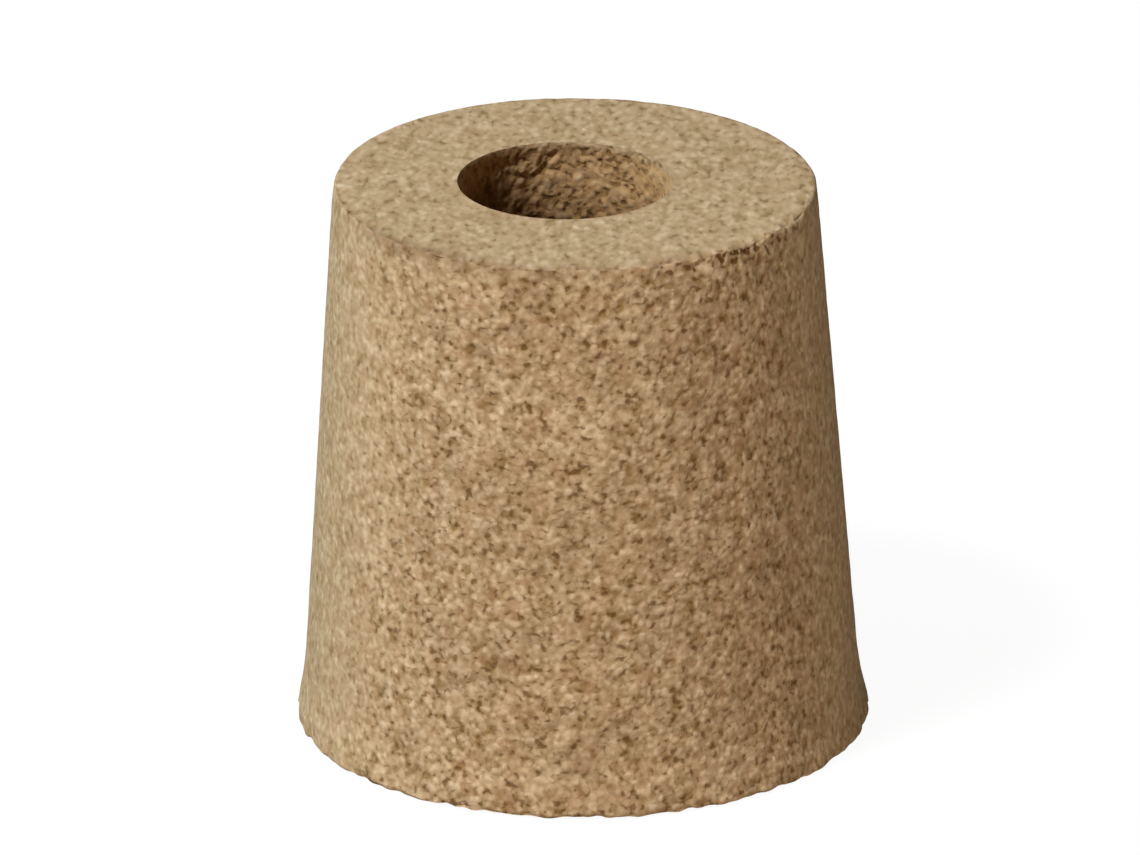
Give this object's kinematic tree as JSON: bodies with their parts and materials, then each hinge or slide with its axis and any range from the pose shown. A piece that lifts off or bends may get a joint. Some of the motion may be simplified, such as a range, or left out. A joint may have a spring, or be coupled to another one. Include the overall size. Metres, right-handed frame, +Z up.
{
  "type": "bored cork stopper",
  "caption": "Tapered stopper of pressed cork granules with a slightly flared foot and a bore right through, to plug a bottle neck around a tube or airlock stem.",
  "frame": {"origin": "middle of the base, the wide end that it stands on", "axes": "+Z up along the bore towards the narrow end; +Y away from the picture's camera, +X to its right; the taper leans slightly towards -X"},
  "size_m": [0.0269, 0.027, 0.0264],
  "materials": {
    "cork": "ground agglomerated cork, matt and granular"
  },
  "bodies": {
    "root": {"stopper": "cork"}
  },
  "joints": []
}
